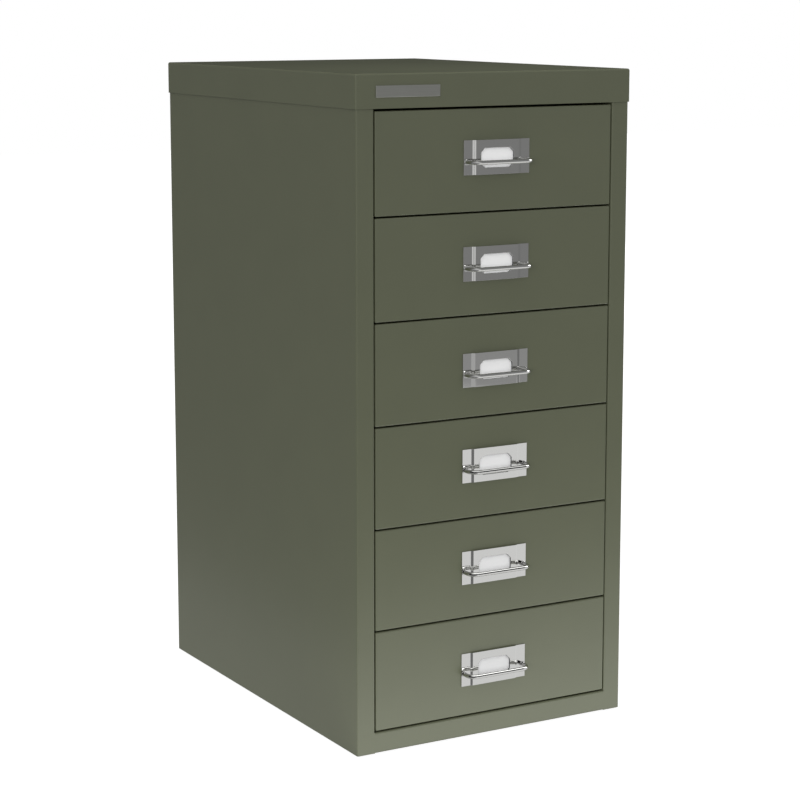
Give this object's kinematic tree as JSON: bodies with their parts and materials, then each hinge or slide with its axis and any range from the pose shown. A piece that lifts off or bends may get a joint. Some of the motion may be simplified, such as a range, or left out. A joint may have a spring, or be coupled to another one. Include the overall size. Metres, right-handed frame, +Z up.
{
  "type": "drawer cabinet",
  "caption": "Small upright steel drawer cabinet: an olive painted case under a folded cap, with shallow drawers that slide out by chromed label-holder pulls.",
  "frame": {"origin": "on the floor, at the centre of the rectangle that the case and its pulls cover", "axes": "+Z up, +Y to the back, away from the drawer fronts, +X to the right seen from the front"},
  "size_m": [0.279, 0.394, 0.5915],
  "materials": {
    "olive_paint": "satin powder coat, olive green",
    "inner_paint": "satin powder coat, thin, olive green",
    "chrome": "bright chromed steel",
    "card": "matt white card",
    "nylon": "natural moulded nylon",
    "rubber": "black moulded rubber",
    "satin_metal": "satin metal, blank"
  },
  "bodies": {
    "case": {"top_cap": "olive_paint", "top_rail": "olive_paint", "left_side_panel": "olive_paint", "right_side_panel": "olive_paint", "back_panel": "olive_paint", "base_pan": "olive_paint", "left_rear_upright": "inner_paint", "right_rear_upright": "inner_paint", "nameplate": "satin_metal", "feet": "rubber", "runner_clips": "nylon", "runners_1": "inner_paint", "runners_2": "inner_paint", "runners_3": "inner_paint", "runners_4": "inner_paint", "runners_5": "inner_paint", "runners_6": "inner_paint"},
    "drawer_1": {"drawer_1_tray": "inner_paint", "drawer_1_front": "olive_paint", "drawer_1_handle_plate": "chrome", "drawer_1_pull": "chrome", "drawer_1_label_card": "card", "drawer_1_glides": "nylon"},
    "drawer_2": {"drawer_2_tray": "inner_paint", "drawer_2_front": "olive_paint", "drawer_2_handle_plate": "chrome", "drawer_2_pull": "chrome", "drawer_2_label_card": "card", "drawer_2_glides": "nylon"},
    "drawer_3": {"drawer_3_tray": "inner_paint", "drawer_3_front": "olive_paint", "drawer_3_handle_plate": "chrome", "drawer_3_pull": "chrome", "drawer_3_label_card": "card", "drawer_3_glides": "nylon"},
    "drawer_4": {"drawer_4_tray": "inner_paint", "drawer_4_front": "olive_paint", "drawer_4_handle_plate": "chrome", "drawer_4_pull": "chrome", "drawer_4_label_card": "card", "drawer_4_glides": "nylon"},
    "drawer_5": {"drawer_5_tray": "inner_paint", "drawer_5_front": "olive_paint", "drawer_5_handle_plate": "chrome", "drawer_5_pull": "chrome", "drawer_5_label_card": "card", "drawer_5_glides": "nylon"},
    "drawer_6": {"drawer_6_tray": "inner_paint", "drawer_6_front": "olive_paint", "drawer_6_handle_plate": "chrome", "drawer_6_pull": "chrome", "drawer_6_label_card": "card", "drawer_6_glides": "nylon"}
  },
  "joints": [
    {"name": "drawer_1_slide", "type": "slide", "parent": "case", "child": "drawer_1", "axis": [0, -1, 0], "range_m": [0, 0.282]},
    {"name": "drawer_2_slide", "type": "slide", "parent": "case", "child": "drawer_2", "axis": [0, -1, 0], "range_m": [0, 0.282]},
    {"name": "drawer_3_slide", "type": "slide", "parent": "case", "child": "drawer_3", "axis": [0, -1, 0], "range_m": [0, 0.282]},
    {"name": "drawer_4_slide", "type": "slide", "parent": "case", "child": "drawer_4", "axis": [0, -1, 0], "range_m": [0, 0.282]},
    {"name": "drawer_5_slide", "type": "slide", "parent": "case", "child": "drawer_5", "axis": [0, -1, 0], "range_m": [0, 0.282]},
    {"name": "drawer_6_slide", "type": "slide", "parent": "case", "child": "drawer_6", "axis": [0, -1, 0], "range_m": [0, 0.282]}
  ]
}
